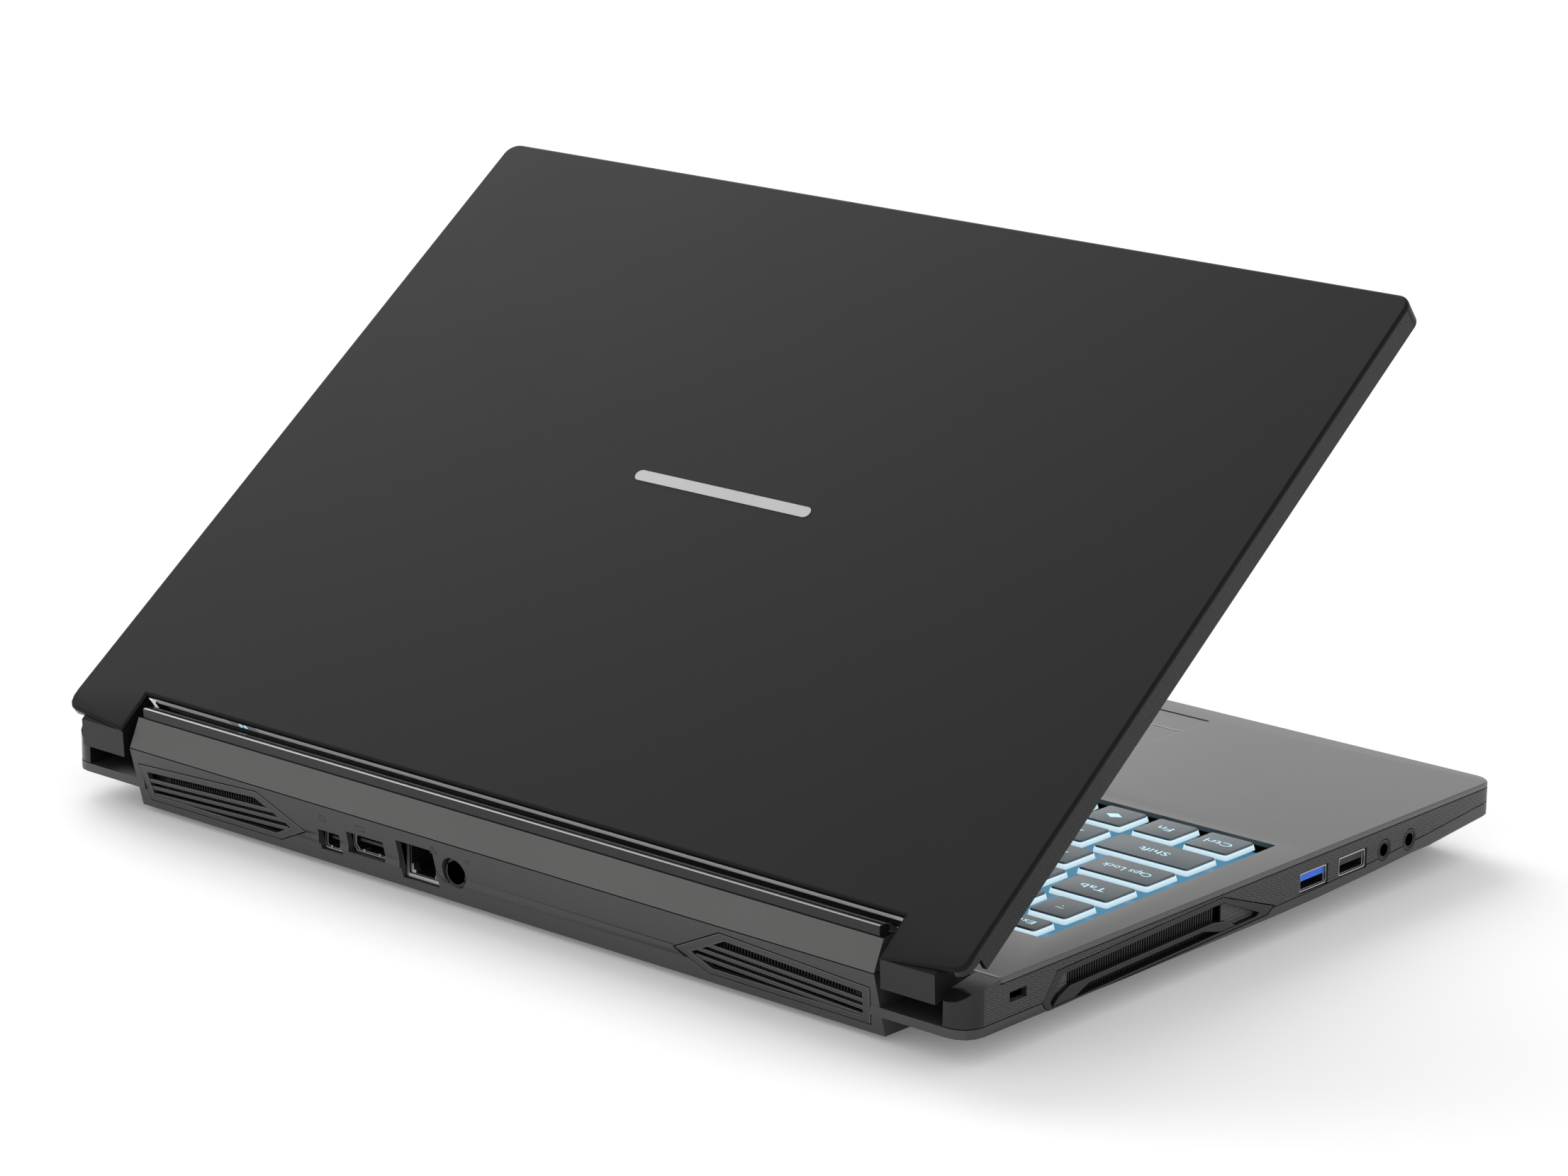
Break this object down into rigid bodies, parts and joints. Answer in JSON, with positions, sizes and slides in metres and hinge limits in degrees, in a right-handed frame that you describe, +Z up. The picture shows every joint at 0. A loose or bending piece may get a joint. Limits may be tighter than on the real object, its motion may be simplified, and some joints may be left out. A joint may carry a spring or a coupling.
{
  "type": "laptop computer",
  "caption": "Half-open laptop computer: thick dark casing with rear and side vents, drop-hinged lid, lit keyboard and touchpad with separate buttons.",
  "frame": {"origin": "on the table under the middle of the half-open laptop's box", "axes": "+X to the user's right, +Y to the rear where the hinges and the rear sockets are, +Z up"},
  "size_m": [0.361, 0.2588, 0.1809],
  "materials": {
    "deck_grey": "satin dark grey lacquer",
    "case_black": "fine-grained black moulding",
    "lid_black": "satin black lacquer",
    "gloss_black": "polished black moulding",
    "trim_silver": "fine brushed",
    "key_grey": "soft-touch grey keycaps with clear sides",
    "light_blue": "clear light guide, ice blue",
    "screen": "dark anti-glare panel",
    "rubber": "soft black",
    "steel": "plain stamped steel",
    "copper": "plain copper",
    "board": "green circuit board",
    "pack": "black sleeve over the cells",
    "port_black": "black moulding"
  },
  "bodies": {
    "base": {"backlight_sheet": "light_blue", "battery_pack": "pack", "bottom_cover": "case_black", "bottom_screw_front_left": "steel", "bottom_screw_front_right": "steel", "bottom_screw_rear_left": "steel", "bottom_screw_rear_right": "steel", "deck_panel": "deck_grey", "display_socket": "steel", "fan_housing_left": "port_black", "fan_housing_right": "port_black", "fin_stack_left": "copper", "fin_stack_right": "copper", "foot_front_left": "rubber", "foot_front_right": "rubber", "foot_rear": "rubber", "headphone_jack": "port_black", "heat_pipes": "copper", "hinge_bracket_left": "steel", "hinge_bracket_right": "steel", "keyboard_plate": "steel", "mainboard": "board", "memory_module": "board", "microphone_jack": "port_black", "mini_display_socket": "steel", "network_socket": "steel", "power_inlet": "port_black", "rear_vent_left": "gloss_black", "rear_vent_right": "gloss_black", "side_frame": "case_black", "side_vent_left": "gloss_black", "side_vent_right": "gloss_black", "speaker_left": "port_black", "speaker_right": "port_black", "storage_drive": "board", "touchpad": "deck_grey", "usb_socket_black": "steel", "usb_socket_blue": "steel", "usb_socket_right": "steel"},
    "fan_rotor_left": {"fan_impeller_left": "port_black"},
    "fan_rotor_right": {"fan_impeller_right": "port_black"},
    "touchpad_left_button": {"touchpad_button_left": "deck_grey"},
    "touchpad_right_button": {"touchpad_button_right": "deck_grey"},
    "power_key": {"power_button": "trim_silver"},
    "space_key": {"space_bar": "key_grey"},
    "bottom_left_keys": {"keys_bottom_left": "key_grey"},
    "bottom_right_keys": {"keys_bottom_right": "key_grey"},
    "shift_row": {"keys_shift_row": "key_grey"},
    "caps_row": {"keys_caps_row": "key_grey"},
    "tab_row": {"keys_tab_row": "key_grey"},
    "number_row": {"keys_number_row": "key_grey"},
    "function_row": {"keys_function_row": "key_grey"},
    "lid": {"lid_cover": "lid_black", "display_bezel": "case_black", "screen_panel": "screen", "camera_module": "port_black", "lid_trim": "trim_silver", "status_window": "light_blue", "hinge_arm_left": "steel", "hinge_arm_right": "steel"}
  },
  "joints": [
    {"name": "lid_hinge", "type": "hinge", "parent": "base", "child": "lid", "pos_m": [0, 0.12198, 0.0252], "axis": [-1, 0, 0], "range_deg": [-37.16, 92.84]},
    {"name": "fan_spin_left", "type": "hinge", "parent": "base", "child": "fan_rotor_left", "pos_m": [-0.108, 0.07198, 0.01], "axis": [0, 0, 1], "continuous": true},
    {"name": "fan_spin_right", "type": "hinge", "parent": "base", "child": "fan_rotor_right", "pos_m": [0.108, 0.07198, 0.01], "axis": [0, 0, 1], "continuous": true},
    {"name": "space_press", "type": "slide", "parent": "base", "child": "space_key", "axis": [0, 0, -1], "range_m": [0, 0.0016], "stiffness_N_per_m": 800, "springref_m": -0.0006},
    {"name": "bottom_left_press", "type": "slide", "parent": "base", "child": "bottom_left_keys", "axis": [0, 0, -1], "range_m": [0, 0.0016], "stiffness_N_per_m": 800, "springref_m": -0.0006},
    {"name": "bottom_right_press", "type": "slide", "parent": "base", "child": "bottom_right_keys", "axis": [0, 0, -1], "range_m": [0, 0.0016], "stiffness_N_per_m": 800, "springref_m": -0.0006},
    {"name": "shift_row_press", "type": "slide", "parent": "base", "child": "shift_row", "axis": [0, 0, -1], "range_m": [0, 0.0016], "stiffness_N_per_m": 800, "springref_m": -0.0006},
    {"name": "caps_row_press", "type": "slide", "parent": "base", "child": "caps_row", "axis": [0, 0, -1], "range_m": [0, 0.0016], "stiffness_N_per_m": 800, "springref_m": -0.0006},
    {"name": "tab_row_press", "type": "slide", "parent": "base", "child": "tab_row", "axis": [0, 0, -1], "range_m": [0, 0.0016], "stiffness_N_per_m": 800, "springref_m": -0.0006},
    {"name": "number_row_press", "type": "slide", "parent": "base", "child": "number_row", "axis": [0, 0, -1], "range_m": [0, 0.0016], "stiffness_N_per_m": 800, "springref_m": -0.0006},
    {"name": "function_row_press", "type": "slide", "parent": "base", "child": "function_row", "axis": [0, 0, -1], "range_m": [0, 0.0016], "stiffness_N_per_m": 800, "springref_m": -0.0006},
    {"name": "touchpad_left_click", "type": "slide", "parent": "base", "child": "touchpad_left_button", "axis": [0, 0, -1], "range_m": [0, 0.0005], "stiffness_N_per_m": 1500, "springref_m": -0.0004},
    {"name": "touchpad_right_click", "type": "slide", "parent": "base", "child": "touchpad_right_button", "axis": [0, 0, -1], "range_m": [0, 0.0005], "stiffness_N_per_m": 1500, "springref_m": -0.0004},
    {"name": "power_press", "type": "slide", "parent": "base", "child": "power_key", "axis": [0, 0, -1], "range_m": [0, 0.0005], "stiffness_N_per_m": 800, "springref_m": -0.0004}
  ]
}
